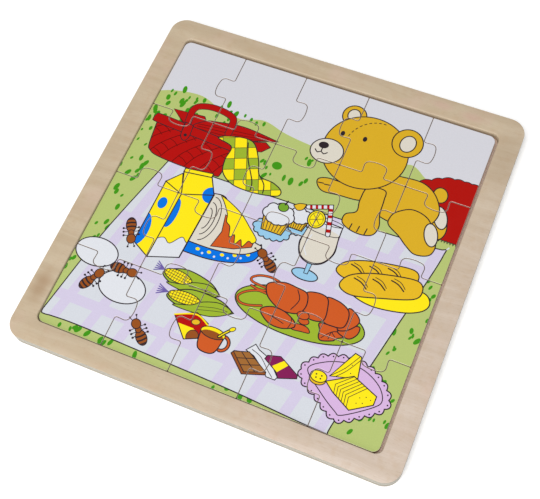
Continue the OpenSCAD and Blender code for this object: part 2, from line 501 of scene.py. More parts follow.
def draw_lobster():
    """A cooked lobster on an oval green plate."""
    shape(oval(45, -58.5, 49, 17.5, 2), "leaf")
    for width, paint in ((2.1, "ink"), (1.1, "orange")):
        stroke([(22, -40), (15, -39), (7, -40.5), (2, -44), (4, -47), (16, -48)], width, paint)
        stroke([(17, -62), (8, -65), (1, -65), (-2, -61), (2, -56), (10, -52), (17, -52)], width, paint)
        stroke([(4, -50), (10, -51), (16, -50)], width, paint)
    tail = shape(curve([(61, -59), (70, -58), (80, -58), (82, -62), (76, -66), (75, -68), (67, -71),
                        (64, -69),
                        (63, -64)]), "orange")
    for x, y in ((66, -69), (71, -68), (75, -65)):
        stroke([(x, y), (72, -62), (79, -60)], 0.6, within=tail)
    shape(curve([(45, -66), (51, -65), (55, -66), (57, -69), (51, -70), (44, -70.5)]), "orange", line=0.7)
    shape(oval(50, -62, 4, 2.6), "orange", line=0.7)
    shape(curve([(75, -60), (84, -53), (89, -52), (89, -58), (84, -63)]), "orange")
    shape(curve([(74, -58), (76, -42), (82, -42.5), (87, -47), (86, -52), (80, -58)]), "orange")
    shape(curve([(62, -56), (58, -40), (67, -38.5), (76, -42), (79, -48), (78, -56), (71, -58)]), "orange")
    shape(curve([(46, -56), (43, -42), (51, -38), (59, -39), (62, -45), (63, -56), (55, -59)]), "orange")
    shape(curve([(15, -48), (15, -44), (20, -41), (27, -39), (35, -39.5), (44, -41), (47, -47), (47, -53),
                 (44, -58), (36, -60), (28, -59), (19, -54)]), "orange")
    stroke([(37, -41), (41, -48), (38, -57)], 0.7)
    shape(oval(48, -58, 4.5, 3), "orange", line=0.7)
    claw = shape(curve([(17.5, -65), (24, -60), (34, -60), (43, -64), (45.5, -67.5), (44, -70), (36, -73),
                        (26, -72)]),
                 "orange")
    stroke([(18, -66), (28, -67), (37, -69)], 0.6, within=claw)
    stroke([(40, -61), (42, -66), (41, -72)], 0.6, within=claw)


def draw_corn(x, y, turn, length):
    """A cob of corn in its husk, with silk at the tip."""
    c, s = math.cos(math.radians(turn)), math.sin(math.radians(turn))

    def at(u, v):
        return x + u * c - v * s, y + u * s + v * c

    for k in (-2, -1, 0, 1, 2):
        stroke([at(-length * 0.5, 0), at(-length * 0.58, k * 0.9), at(-length * 0.66, k * 1.9)],
               0.9, "violet")
    shape(curve([at(-length * 0.5, -2), at(-length * 0.2, 7), at(length * 0.25, 6.5), at(length * 0.5, 1),
                 at(length * 0.5, -1), at(length * 0.2, -8), at(-length * 0.25, -8)]), "leaf")
    cob = shape(oval(*at(-length * 0.24, -0.5), length * 0.25, 4.6, turn), "butter", line=0.7)
    for k in range(-5, 6):
        u = -length * 0.24 + k * length * 0.046
        stroke([at(u, -6), at(u + 0.5, 6)], 0.4, within=cob, smooth=False)
    for v in (-2.4, -0.3, 1.9):
        stroke([at(-length * 0.5, v), at(0, v - 0.4)], 0.4, within=cob, smooth=False)
    shape(curve([at(-length * 0.36, -8), at(-length * 0.1, -4), at(length * 0.05, 1), at(length * 0.3, 4),
                 at(length * 0.5, 0), at(length * 0.25, -7.5), at(-length * 0.1, -9)]), "leaf", line=0.7)
    for v in (-3, -0.5):
        stroke([at(0, v - 3), at(length * 0.25, v), at(length * 0.44, v * 0.4)], 0.4)


def draw_plates():
    for x, y, rx, ry in [(-115, -67, 17, 11.4), (-84.5, -86, 18.5, 12.4)]:
        shape(oval(x, y, rx, ry), "china")


def draw_packet_and_mug():
    """An unmarked snack packet, and a mug of cocoa with a spoon."""
    packet = shape([(-39, -91), (-24, -84), (-13, -89), (-16, -102), (-25, -106)], "hamper", line=0.8)
    lay([(-40, -90), (-37, -96), (-22, -96), (-14, -100), (-14, -104), (-26, -108)], "butter", within=packet)
    shape(oval(-20, -102, 4.5, 5), "brown", within=packet, line=0.6)
    shape(oval(-22, -91, 3.2, 2.2, 15), "crust", within=packet, line=0.6)
    stroke([(-39, -91), (-24, -85.5), (-13, -90)], 1.1, "butter")
    stroke(oval(2, -99, 5, 5.4, 0, -90, 100), 2.9)
    stroke(oval(2, -99, 5, 5.4, 0, -90, 100), 1.3, "orange")
    shape(curve([(-16, -95), (-16, -95), (-14.5, -105), (-11, -109), (-3, -109), (0.5, -105), (2, -95),
                 (2, -95)]),
          "orange")
    mouth = shape(oval(-7, -94, 9.4, 4.2), "butter", line=0.7)
    lay(oval(-7, -95.6, 8.4, 3), "brown", within=mouth)
    pipe([(-2, -95), (1, -91), (4, -87.5)], 1.7, "butter")
    shape(oval(5, -86.5, 2.4, 1.5, 40), "butter", line=0.6)


def draw_chocolate():
    """A bar of chocolate half out of its foil and plain sleeve."""
    shape([(20, -97), (25, -90.5), (29, -93.5), (36, -96), (43, -102), (48.5, -107.5), (47.5, -110),
           (41, -110),
           (38, -107), (27, -99)], "china", line=0.7)
    stroke([(24, -95), (32, -98), (40, -105), (45, -109)], 0.5)
    sleeve = shape([(35, -98), (36, -95), (45, -92.5), (48, -94), (61, -101), (61.5, -103.5), (49, -108),
                    (46, -104)], "plum", line=0.7)
    lay([(42, -101), (49, -94), (53, -96), (46, -105)], "butter", within=sleeve)
    shape([(11, -103), (24, -114.5), (40, -109), (39.5, -107), (23, -98), (12.5, -100.5)], "brown", line=0.7)
    bar = shape([(12, -101), (23, -97.5), (39.5, -107), (25, -112.5)], "chocolate", line=0.7)
    for k in (0.33, 0.66):
        stroke([(12 + 13 * k, -101 - 11.5 * k), (23 + 16.5 * k, -97.5 - 9.5 * k)],
               0.6, within=bar, smooth=False)
    stroke([(17.5, -99.2), (32.2, -109.7)], 0.6, within=bar, smooth=False)


def draw_sandwich_tray():
    """A scalloped tray with sandwiches and a biscuit."""
    outline = curve([(62, -94), (72, -82), (88, -76.5), (104, -77), (118, -84), (126, -94), (125, -102),
                     (114, -111),
                     (100, -120), (92, -119), (78, -110), (66, -103)])
    around = anticlockwise(outline)
    edge = scallops([tuple(p) for p in around], 23, 2.1)
    shape(edge, "orchid")
    studs = scallops([tuple(p) for p in grow(outline, -0.6)], 23, 0.4)
    for k in range(3, len(studs), 6):
        lay(oval(*studs[k], 0.6), "ink")
    shape(curve([(66, -94), (75, -85), (89, -80), (103, -80.5), (116, -87), (122, -96), (118, -103),
                 (100, -116),
                 (94, -115), (80, -106)]), "orchid", line=0.7)
    slab = shape([(82, -93), (93, -71), (98, -72), (101, -88)], "butter", line=0.8)
    stroke([(82, -93), (90, -84), (97, -72)], 0.5, within=slab)
    stroke([(84, -94), (92, -85), (99, -73)], 0.5, within=slab)
    shape([(81, -97.5), (98, -87), (117.5, -95), (117.5, -101.5), (103, -111), (88, -103)], "butter",
          line=0.8)
    for k in range(6):
        t = k / 6
        stroke([(88 + 14 * t, -97 - 1.5 * t - 5 * t), (89 + 14 * t, -103 - 8 * t)], 0.5, smooth=False)
        stroke([(88 + 14 * t, -97 - 6.5 * t), (98 + 14 * t, -87.5 - 5 * t)], 0.5, smooth=False)
    for x, y in [(107, -100), (111, -98), (114.5, -99), (106, -104.5), (110, -103), (90, -84), (94, -80),
                 (95, -86)]:
        lay(oval(x, y, 0.4), "ink")
    shape(oval(75, -98, 6, 4.2), "crust", line=0.7)
    shape(oval(75, -96, 6, 4.2), "butter", line=0.7)
    for x, y in [(73, -95), (77, -95), (73.5, -97.3), (76.8, -97.3)]:
        lay(oval(x, y, 0.6), "ink")


def draw_ant(x, y, turn):
    """A plain little ant: three body rings, six legs and two feelers."""
    c, s = math.cos(math.radians(turn)), math.sin(math.radians(turn))

    def at(u, v):
        return x + u * c - v * s, y + u * s + v * c

    for u in (-2, 1, 4):
        for v in (-1, 1):
            stroke([at(u, 0), at(u - 0.6, 3.6 * v), at(u - 0.4, 5.6 * v)], 0.6)
            lay(oval(*at(u - 0.4, 5.8 * v), 0.9), "ink")
    for v in (-1, 1):
        stroke([at(-7, 0), at(-10, 2 * v), at(-12, 2.4 * v)], 0.6)
        lay(oval(*at(-12, 2.5 * v), 0.8), "ink")
    tail = shape(oval(*at(6, 0), 6.2, 3.9, turn), "brown", line=0.7)
    for u in (4, 7.2, 10.2):
        stroke([at(u, -5), at(u + 0.8, 0), at(u, 5)], 1.3, within=tail)
    shape(oval(*at(-0.6, 0), 2.4, 2.2, turn), "brown", line=0.7)
    shape(oval(*at(-5.6, 0), 3.9, 3.4, turn), "brown", line=0.7)


def draw_picture():
    draw_land()
    draw_hedge()
    draw_tablecloth()
    draw_hamper()
    draw_check_cloth()
    draw_teddy()
    draw_cake()
    draw_carton()
    draw_cupcakes()
    draw_glass()
    draw_bread()
    draw_lobster()
    draw_plates()
    draw_corn(-38, -64, -6, 46)
    draw_corn(-26, -76, 2, 50)
    draw_packet_and_mug()
    draw_chocolate()
    draw_sandwich_tray()
    for x, y, turn in [(6, -27, -38), (-98, -43, 115), (-108, -87, 240), (-88, -73, 180), (-58, -112, -45)]:
        draw_ant(x, y, turn)


draw_picture()

# ---------------------------------------------------------------- printed sheets
# How far in from the cut the paper bends down, and how far it drops there
EDGE_ROUND = 0.55 * MM
EDGE_DROP = (PAPER_HIGH.z - PAPER_LOW.z) * 0.85
# Distances from the cut at which the sheet gets a row of points
EDGE_STEPS = (0.15 * MM, 0.33 * MM, EDGE_ROUND, 0.7 * MM)
# Points nearer than this, in millimetres, are taken as one
DETAIL = 1e-5


def outline_of(node):
    """Points round a CAD sheet's top face, anticlockwise."""
    mesh = bmesh.new()
    mesh.from_mesh(node.data)
    bmesh.ops.remove_doubles(mesh, verts=mesh.verts, dist=1e-6)
    mesh.normal_update()
    after = {}
    for face in mesh.faces:
        if face.normal.z < 0.5:
            continue
        for loop in face.loops:
            if any(f is not face and f.normal.z > 0.5 for f in loop.edge.link_faces):
                continue
            after[loop.vert.index] = (loop.link_loop_next.vert.index, loop.vert.co.xy.copy())
    start = here = next(iter(after))
    points = []
    while True:
        here, spot = after[here]
        points.append((spot.x, spot.y))
        if here == start:
            break
    mesh.free()
    return np.array(points)


def inside(points, outline):
    """Which points lie inside the outline."""
    a, b = outline, np.roll(outline, -1, axis=0)
    px, py = points[:, 0, None], points[:, 1, None]
    left = (b[:, 0] - a[:, 0]) * (py - a[:, 1]) - (px - a[:, 0]) * (b[:, 1] - a[:, 1])
    up = (a[:, 1] <= py) & (b[:, 1] > py) & (left > 0)
    down = (a[:, 1] > py) & (b[:, 1] <= py) & (left < 0)
    return up.sum(1) != down.sum(1)


def distance_to(points, outline):
    """How far each point is from the outline."""
    a, b = outline, np.roll(outline, -1, axis=0)
    run = b - a
    share = ((points[:, None] - a) * run).sum(2) / (run * run).sum(1)
    nearest = a + np.clip(share, 0, 1)[:, :, None] * run
    return np.linalg.norm(points[:, None] - nearest, axis=2).min(1)


def linear(byte):
    c = byte / 255
    return c / 12.92 if c <= 0.04045 else ((c + 0.055) / 1.055) ** 2.4


def sheet_ink():
    """Every ink in metres in the tray's frame, with its box."""
    scale = np.array([UNIT_X, UNIT_Y])
    middle = np.array([SHEET_MIDDLE.x, SHEET_MIDDLE.y])
    placed = []
    for points, colour, within in inks:
        spots = points * scale + middle
        placed.append((spots, colour, within, spots.min(0), spots.max(0)))
    return placed


INK_PLACED = sheet_ink()


def printed_sheet(cell):
    """The printed paper of one piece: a thin closed sheet, rounded over along its cut edge."""
    outline = outline_of(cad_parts["picture_" + cell])
    low, high = outline.min(0), outline.max(0)
    near = [k for k, ink in enumerate(INK_PLACED) if (ink[3] < high).all() and (ink[4] > low).all()]

    loops = [outline] + [grow(outline, -step) for step in EDGE_STEPS]
    loops += [INK_PLACED[k][0] for k in near]
    spots, edges = [], []
    for loop in loops:
        first, count = len(spots), len(loop)
        spots += [Vector((x / MM, y / MM)) for x, y in loop]
        edges += [(first + i, first + (i + 1) % count) for i in range(count)]
    found, _, faces = delaunay_2d_cdt(spots, edges, [], 0, DETAIL, False)[:3]
    flat = np.array([(p.x, p.y) for p in found]) * MM
    faces = np.array([f for f in faces if len(f) == 3])
    centres = flat[faces].mean(1)
    kept = inside(centres, outline)
    faces, centres = faces[kept], centres[kept]

    tint = np.zeros((len(faces), 4), np.float32)
    tint[:, 3] = 1
    covers = {}

    def covered_by(k):
        if k not in covers:
            here, mask = INK_PLACED[k], np.zeros(len(centres), bool)
            close = ((centres >= here[3]) & (centres <= here[4])).all(1)
            mask[close] = inside(centres[close], here[0])
            covers[k] = mask
        return covers[k]

    for k in near:
        mask = covered_by(k)
        if INK_PLACED[k][2] is not None:
            mask = mask & covered_by(INK_PLACED[k][2])
        tint[mask, :3] = [linear(c) for c in COLOURS[INK_PLACED[k][1]]]

    used = np.unique(faces)
    renumber = np.full(len(flat), -1)
    renumber[used] = np.arange(len(used))
    faces, flat = renumber[faces], flat[used]
    apart = distance_to(flat, outline)
    bend = np.clip(1 - apart / EDGE_ROUND, 0, 1)
    rise = PAPER_HIGH.z - EDGE_DROP * (1 - np.sqrt(1 - bend**2))
    corner = flat[faces]
    turned = ((corner[:, 1, 0] - corner[:, 0, 0]) * (corner[:, 2, 1] - corner[:, 0, 1])
              - (corner[:, 1, 1] - corner[:, 0, 1]) * (corner[:, 2, 0] - corner[:, 0, 0])) < 0
    faces[turned] = faces[turned][:, ::-1]

    mesh = bpy.data.meshes.new("print_" + cell)
    mesh.from_pydata(np.column_stack([flat, rise]).tolist(), [], faces.tolist())
    ink = mesh.color_attributes.new("ink", "FLOAT_COLOR", "CORNER")
    ink.data.foreach_set("color", np.repeat(tint, 3, axis=0).ravel())
    cut = mesh.attributes.new("cut_edge", "FLOAT", "POINT")
    cut.data.foreach_set("value", bend.astype(np.float32))

    body = bmesh.new()
    body.from_mesh(mesh)
    rim = [e for e in body.edges if e.is_boundary]
    walls = bmesh.ops.extrude_edge_only(body, edges=rim)["geom"]
    for v in walls:
        if isinstance(v, bmesh.types.BMVert):
            v.co.z = PAPER_LOW.z
    bmesh.ops.edgeloop_fill(body, edges=[e for e in body.edges if e.is_boundary])
    bmesh.ops.recalc_face_normals(body, faces=body.faces)
    body.to_mesh(mesh)
    body.free()
    piece = bpy.data.objects.new("print_" + cell, mesh)
    bpy.context.scene.collection.objects.link(piece)
    return piece


# ---------------------------------------------------------------- modelling by hand
def clear_selection():
    bpy.ops.object.select_all(action="DESELECT")


def shade(piece, degrees):
    """Smooth shading where faces meet at less than that angle."""
    clear_selection()
    piece.select_set(True)
    bpy.context.view_layer.objects.active = piece
    bpy.ops.object.shade_smooth_by_angle(angle=math.radians(degrees))
    clear_selection()


def edit(piece):
    """Opens the piece in edit mode with nothing selected."""
    clear_selection()
    bpy.context.view_layer.objects.active = piece
    bpy.ops.object.mode_set(mode="EDIT")
    bpy.ops.mesh.select_all(action="DESELECT")


def pick(piece, kind, wanted):
    """Selects the verts, edges or faces for which wanted is true, and nothing else."""
    bpy.ops.mesh.select_mode(type={"verts": "VERT", "edges": "EDGE", "faces": "FACE"}[kind])
    bpy.ops.mesh.select_all(action="DESELECT")
    mesh = bmesh.from_edit_mesh(piece.data)
    for part in getattr(mesh, kind):
        if wanted(part):
            part.select_set(True)
    mesh.select_flush_mode()
    bmesh.update_edit_mesh(piece.data)


def close_edit():
    bpy.ops.object.mode_set(mode="OBJECT")
    clear_selection()


def rounded_outline(half_x, half_y, radius, segments):
    """Adds a flat rectangle at z = 0 to the open mesh, and rounds its four corners."""
    bpy.ops.mesh.primitive_plane_add(size=2, location=(0, 0, 0))
    bpy.ops.transform.resize(value=(half_x, half_y, 1), center_override=(0, 0, 0))
    bpy.ops.mesh.bevel(offset=radius, segments=segments, affect="VERTICES")


def new_piece(name):
    mesh = bpy.data.meshes.new(name)
    piece = bpy.data.objects.new(name, mesh)
    bpy.context.scene.collection.objects.link(piece)
    return piece


CORNER_SEGMENTS = 14
# Widths of the rounding along the rim's outer edge and the window's edge, and along sawn edges
OUTER_LIP = 0.45 * MM
WINDOW_LIP = 0.8 * MM
ARRIS = 0.35 * MM


def is_level(edge, z):
    return all(abs(v.co.z - z) < 1e-7 for v in edge.verts)


def rim_board():
    """The rim: a flat frame with a round-cornered window and rounded lips."""
    piece = new_piece("rim")
    edit(piece)
    rounded_outline(RIM_HIGH.x, RIM_HIGH.y, OUTER_R, CORNER_SEGMENTS)
    bpy.ops.mesh.select_all(action="DESELECT")
    rounded_outline(WINDOW_X, WINDOW_Y, WINDOW_R, CORNER_SEGMENTS)
    bpy.ops.mesh.select_all(action="SELECT")
    bpy.ops.mesh.delete(type="ONLY_FACE")
    bpy.ops.mesh.select_all(action="SELECT")
    bpy.ops.mesh.bridge_edge_loops()
    bpy.ops.mesh.select_all(action="SELECT")
    bpy.ops.transform.translate(value=(0, 0, RIM_LOW.z))
    bpy.ops.mesh.extrude_region_move(TRANSFORM_OT_translate={"value": (0, 0, RIM_HIGH.z - RIM_LOW.z)})
    bpy.ops.mesh.select_all(action="SELECT")
    bpy.ops.mesh.normals_make_consistent(inside=False)

    def is_arris(edge, z):
        """True on an edge between a level face and an upright one."""
        if not is_level(edge, z) or len(edge.link_faces) != 2:
            return False
        return abs(edge.link_faces[0].normal.z) + abs(edge.link_faces[1].normal.z) < 1.5

    def by_window(edge):
        return all(abs(v.co.x) < WINDOW_X + ARRIS and abs(v.co.y) < WINDOW_Y + ARRIS for v in edge.verts)

    pick(piece, "edges", lambda e: is_arris(e, RIM_HIGH.z) and by_window(e))
    bpy.ops.mesh.bevel(offset=WINDOW_LIP, segments=5, affect="EDGES")
    pick(piece, "edges", lambda e: is_arris(e, RIM_HIGH.z) and not by_window(e))
    bpy.ops.mesh.bevel(offset=OUTER_LIP, segments=4, affect="EDGES")
    pick(piece, "edges", lambda e: is_arris(e, RIM_LOW.z))
    bpy.ops.mesh.bevel(offset=ARRIS / 2, segments=2, affect="EDGES")
    close_edit()
    shade(piece, 35)
    return piece


def base_board():
    """The base: one plain board, its edges just broken."""
    piece = new_piece("base")
    edit(piece)
    rounded_outline(BASE_HIGH.x, BASE_HIGH.y, OUTER_R, CORNER_SEGMENTS)
    bpy.ops.mesh.select_all(action="SELECT")
    bpy.ops.mesh.extrude_region_move(TRANSFORM_OT_translate={"value": (0, 0, BASE_HIGH.z)})
    bpy.ops.mesh.select_all(action="SELECT")
    bpy.ops.mesh.normals_make_consistent(inside=False)
    pick(piece, "edges", lambda e: is_level(e, BASE_LOW.z))
    bpy.ops.mesh.bevel(offset=ARRIS, segments=3, affect="EDGES")
    pick(piece, "edges", lambda e: is_level(e, BASE_HIGH.z))
    bpy.ops.mesh.bevel(offset=ARRIS / 2, segments=2, affect="EDGES")
    close_edit()
    shade(piece, 35)
    return piece


def plywood_piece(cell):
    """The plywood of one piece, with its sawn lower edge eased."""
    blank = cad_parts["piece_" + cell]
    low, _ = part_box("piece_" + cell)
    piece = bpy.data.objects.new("ply_" + cell, blank.data.copy())
    piece.data.materials.clear()
    bpy.context.scene.collection.objects.link(piece)
    edit(piece)
    bpy.ops.mesh.select_all(action="SELECT")
    bpy.ops.mesh.remove_doubles(threshold=1e-6)
    bpy.ops.mesh.select_all(action="SELECT")
    bpy.ops.mesh.dissolve_limited(angle_limit=math.radians(0.5))
    pick(piece, "edges", lambda e: is_level(e, low.z))
    bpy.ops.mesh.bevel(offset=ARRIS, segments=3, affect="EDGES")
    close_edit()
    shade(piece, 35)
    return piece


# ---------------------------------------------------------------- materials
def node(tree, kind, inputs=(), **settings):
    """A shader node with its settings. An input is a value, or a socket to link from."""
    made = tree.nodes.new(kind)
    for name, value in settings.items():
        setattr(made, name, value)
    for name, value in dict(inputs).items():
        if isinstance(value, bpy.types.NodeSocket):
            tree.links.new(value, made.inputs[name])
        else:
            made.inputs[name].default_value = value
    return made


def maths(tree, operation, a, b=0.0, clamp=False):
    return node(tree, "ShaderNodeMath", {0: a, 1: b}, operation=operation, use_clamp=clamp).outputs[0]


def vectors(tree, operation, a, b):
    return node(tree, "ShaderNodeVectorMath", {0: a, 1: b}, operation=operation).outputs[0]


def fade(tree, value, low, high, to_low=0.0, to_high=1.0):
    """Takes value from low..high to to_low..to_high, smoothly and held at the ends."""
    return node(tree, "ShaderNodeMapRange",
                {"Value": value, "From Min": low, "From Max": high, "To Min": to_low, "To Max": to_high},
                interpolation_type="SMOOTHSTEP").outputs[0]


def blend(tree, factor, a, b, mode="MIX"):
    made = tree.nodes.new("ShaderNodeMix")
    made.data_type = "RGBA"
    made.blend_type = mode
    for index, value in ((0, factor), (6, a), (7, b)):
        if isinstance(value, bpy.types.NodeSocket):
            tree.links.new(value, made.inputs[index])
        else:
            made.inputs[index].default_value = value
    return made.outputs[2]


def noise(tree, place, scale, detail=3.0, rough=0.5):
    return node(tree, "ShaderNodeTexNoise",
                {"Vector": place, "Scale": scale, "Detail": detail, "Roughness": rough}).outputs["Fac"]


def group(name, inputs, outputs):
    """An empty shader node group with its sockets, and its input and output nodes."""
    tree = bpy.data.node_groups.new(name, "ShaderNodeTree")
    for title, kind in inputs:
        tree.interface.new_socket(title, in_out="INPUT", socket_type=kind)
    for title, kind in outputs:
        tree.interface.new_socket(title, in_out="OUTPUT", socket_type=kind)
    return tree, tree.nodes.new("NodeGroupInput"), tree.nodes.new("NodeGroupOutput")


def use(tree, made, inputs):
    """Places a node group in a material with its own values."""
    return node(tree, "ShaderNodeGroup", inputs, node_tree=made)


def colour(red, green, blue):
    return (linear(red), linear(green), linear(blue), 1.0)


def grain_group():
    """Straight wood grain along X: broad figure, fine fibres and short dark pores. Place is in mm."""
    tree, given, out = group(
        "straight_grain",
        [("Place", "NodeSocketVector"), ("Figure", "NodeSocketFloat"), ("Fibre", "NodeSocketFloat")],
        [("Figure", "NodeSocketFloat"), ("Fibre", "NodeSocketFloat"), ("Pores", "NodeSocketFloat"),
         ("Height", "NodeSocketFloat")])
    place = given.outputs["Place"]
    wander = noise(tree, vectors(tree, "MULTIPLY", place, (0.012, 0.03, 0.03)), 1.0, 2)
    shifted = vectors(tree, "ADD", place, node(
        tree, "ShaderNodeCombineXYZ", {"Y": maths(tree, "MULTIPLY", wander, 16.0)}).outputs[0])
    broad = noise(tree, vectors(tree, "MULTIPLY", shifted, (0.008, 0.11, 0.11)), 1.0, 4, 0.6)
    fine = noise(tree, vectors(tree, "MULTIPLY", shifted, (0.06, 1.6, 1.6)), 1.0, 4, 0.65)
    specks = noise(tree, vectors(tree, "MULTIPLY", shifted, (0.28, 2.6, 2.6)), 1.0, 2, 0.5)
    pores = fade(tree, specks, 0.60, 0.72)
    figure = maths(tree, "MULTIPLY", fade(tree, broad, 0.3, 0.7), given.outputs["Figure"])
    fibre = maths(tree, "MULTIPLY", fade(tree, fine, 0.3, 0.7), given.outputs["Fibre"])
    height = maths(tree, "SUBTRACT", maths(tree, "MULTIPLY", fine, 0.6), maths(tree, "MULTIPLY", pores, 0.5))
    for name, value in (("Figure", figure), ("Fibre", fibre), ("Pores", pores), ("Height", height)):
        tree.links.new(value, out.inputs[name])
    return tree


def plies_group():
    """Layers across the thickness of plywood, with thin glue lines. Height is in mm."""
    tree, given, out = group(
        "ply_layers",
        [("Height", "NodeSocketFloat"), ("Ply", "NodeSocketFloat"), ("Place", "NodeSocketVector")],
        [("Cross ply", "NodeSocketFloat"), ("Glue line", "NodeSocketFloat"),
         ("End fibres", "NodeSocketFloat")])
    waver = noise(tree, vectors(tree, "MULTIPLY", given.outputs["Place"], (0.08, 0.08, 0.5)), 1.0, 2)
    level = maths(tree, "DIVIDE", given.outputs["Height"], given.outputs["Ply"])
    level = maths(tree, "ADD", level, maths(tree, "MULTIPLY", waver, 0.12))
    cycle = maths(tree, "PINGPONG", level, 1.0)
    cross = fade(tree, cycle, 0.46, 0.54)
    near = maths(tree, "ABSOLUTE", maths(tree, "SUBTRACT", cycle, 0.5))
    glue = fade(tree, near, 0.0, 0.07, 1.0, 0.0)
    ends = noise(tree, vectors(tree, "MULTIPLY", given.outputs["Place"], (3.5, 3.5, 0.9)), 1.0, 3)
    for name, value in (("Cross ply", cross), ("Glue line", glue), ("End fibres", ends)):
        tree.links.new(value, out.inputs[name])
    return tree


def handling_group():
    """Faint smudges and dust from hands. Place is in mm."""
    tree, given, out = group(
        "handling", [("Place", "NodeSocketVector"), ("Size", "NodeSocketFloat")],
        [("Smudge", "NodeSocketFloat"), ("Dust", "NodeSocketFloat")])
    smudge = noise(tree, given.outputs["Place"], given.outputs["Size"], 3, 0.55)
    dust = noise(tree, given.outputs["Place"], 2.2, 2, 0.6)
    tree.links.new(fade(tree, smudge, 0.35, 0.7), out.inputs["Smudge"])
    tree.links.new(fade(tree, dust, 0.66, 0.74), out.inputs["Dust"])
    return tree


GRAIN = grain_group()
PLIES = plies_group()
HANDLING = handling_group()


def material(name):
    """A new material, its shader, and places on the piece in millimetres."""
    made = bpy.data.materials.new(name)
    made.use_nodes = True
    tree = made.node_tree
    shader = tree.nodes["Principled BSDF"]
    spot = node(tree, "ShaderNodeTexCoord")
    place = vectors(tree, "MULTIPLY", spot.outputs["Object"], (1000, 1000, 1000))
    return made, tree, shader, place, spot.outputs["Normal"]


def bump(tree, height, distance, strength):
    return node(tree, "ShaderNodeBump",
                {"Height": height, "Distance": distance, "Strength": strength}).outputs[0]


def part_of(tree, vector, axis):
    return node(tree, "ShaderNodeSeparateXYZ", {0: vector}).outputs[axis]


def upright(tree, normal):
    """1 on upright faces, 0 on level ones."""
    return fade(tree, maths(tree, "ABSOLUTE", part_of(tree, normal, "Z")), 0.35, 0.65, 1.0, 0.0)


def patch(tree, place, x, y, rx, ry, power):
    """A soft patch in the wood, at a place in mm."""
    away = vectors(tree, "SUBTRACT", place, (x, y, RIM_HIGH.z / MM))
    shifted = vectors(tree, "MULTIPLY", away, (1 / rx, 1 / ry, 0.02))
    far = node(tree, "ShaderNodeVectorMath", {0: shifted}, operation="LENGTH").outputs["Value"]
    return fade(tree, far, 0.1, 1.0, power, 0.0)


def rim_wood():
    made, tree, shader, place, normal = material("rim_birch")
    grain = use(tree, GRAIN, {"Place": place, "Figure": 1.0, "Fibre": 1.0})
    plies = use(tree, PLIES, {"Height": part_of(tree, place, "Z"), "Ply": 1.5, "Place": place})
    marks = use(tree, HANDLING, {"Place": place, "Size": 0.05})
    # Painted sheen: the rim is painted paler and cooler towards its front right corner, standing in for the
    # light and sheen that fall there; both grain tones carry it.
    slant = maths(tree, "SUBTRACT", part_of(tree, place, "X"),
                  maths(tree, "MULTIPLY", part_of(tree, place, "Y"), 0.6))
    painted_sheen = fade(tree, slant, 0.1 * RIM_HIGH.x / MM, 1.35 * RIM_HIGH.x / MM)
    dark_tone = blend(tree, painted_sheen, colour(190, 170, 140), colour(202, 184, 167))
    light_tone = blend(tree, painted_sheen, colour(202, 185, 157), colour(213, 197, 183))
    face = blend(tree, grain.outputs["Figure"], dark_tone, light_tone)
    face = blend(tree, maths(tree, "MULTIPLY", grain.outputs["Fibre"], 0.35), face, colour(190, 168, 142))
    face = blend(tree, maths(tree, "MULTIPLY", grain.outputs["Pores"], 0.30), face, colour(160, 134, 106))
    rosy = noise(tree, place, 0.035, 3)
    face = blend(tree, fade(tree, rosy, 0.5, 0.72, 0.0, 0.35), face, colour(208, 178, 160))
    tan = noise(tree, place, 0.16, 3, 0.6)
    face = blend(tree, fade(tree, tan, 0.45, 0.75, 0.0, 0.3), face, colour(188, 158, 124))
    half_x, half_y = RIM_HIGH.x / MM, RIM_HIGH.y / MM
    rim_wide = (RIM_HIGH.x - WINDOW_X) / MM
    stain = patch(tree, place, rim_wide * 0.5 - half_x, -half_y * 0.72, 10, 20, 0.5)
    face = blend(tree, stain, face, colour(150, 112, 72))
    corner_tone = patch(tree, place, half_x - rim_wide * 0.5, half_y * 0.75, 22, 34, 0.35)
    face = blend(tree, corner_tone, face, colour(158, 134, 102))
    for x, y in ((0.55, 0.955), (0.72, 0.94)):
        face = blend(tree, patch(tree, place, half_x * x, half_y * y, 14, 6, 0.35),
                     face, colour(205, 160, 150))
    side = blend(tree, plies.outputs["Cross ply"], colour(170, 167, 154), colour(161, 156, 141))
    side = blend(tree, maths(tree, "MULTIPLY", plies.outputs["Glue line"], 0.3), side, colour(140, 116, 88))
    side = blend(tree, fade(tree, plies.outputs["End fibres"], 0.3, 0.75, 0.0, 0.25),
                 side, colour(168, 148, 118))
    x = maths(tree, "ABSOLUTE", part_of(tree, place, "X"))
    y = maths(tree, "ABSOLUTE", part_of(tree, place, "Y"))
    past = maths(tree, "MAXIMUM", maths(tree, "SUBTRACT", x, WINDOW_X / MM),
                 maths(tree, "SUBTRACT", y, WINDOW_Y / MM))
    window = fade(tree, past, 0.2, 0.9, 1.0, 0.0)
    # Painted light: the window's wall is painted paler than the board's sawn outer sides, to lift the shade
    # in the narrow gap beside the pieces.
    wall_painted_light = blend(tree, fade(tree, plies.outputs["End fibres"], 0.3, 0.7),
                 colour(200, 180, 150), colour(218, 200, 172))
    side = blend(tree, window, side, wall_painted_light)
    base = blend(tree, upright(tree, normal), face, side)
    base = blend(tree, maths(tree, "MULTIPLY", marks.outputs["Smudge"], 0.10), base, colour(178, 156, 128))
    tree.links.new(base, shader.inputs["Base Color"])
    tree.links.new(fade(tree, grain.outputs["Fibre"], 0, 1, 0.42, 0.56), shader.inputs["Roughness"])
    tree.links.new(bump(tree, grain.outputs["Height"], 0.00008, 0.5), shader.inputs["Normal"])
    shader.inputs["Coat Weight"].default_value = 0.15
    shader.inputs["Coat Roughness"].default_value = 0.35
    return made


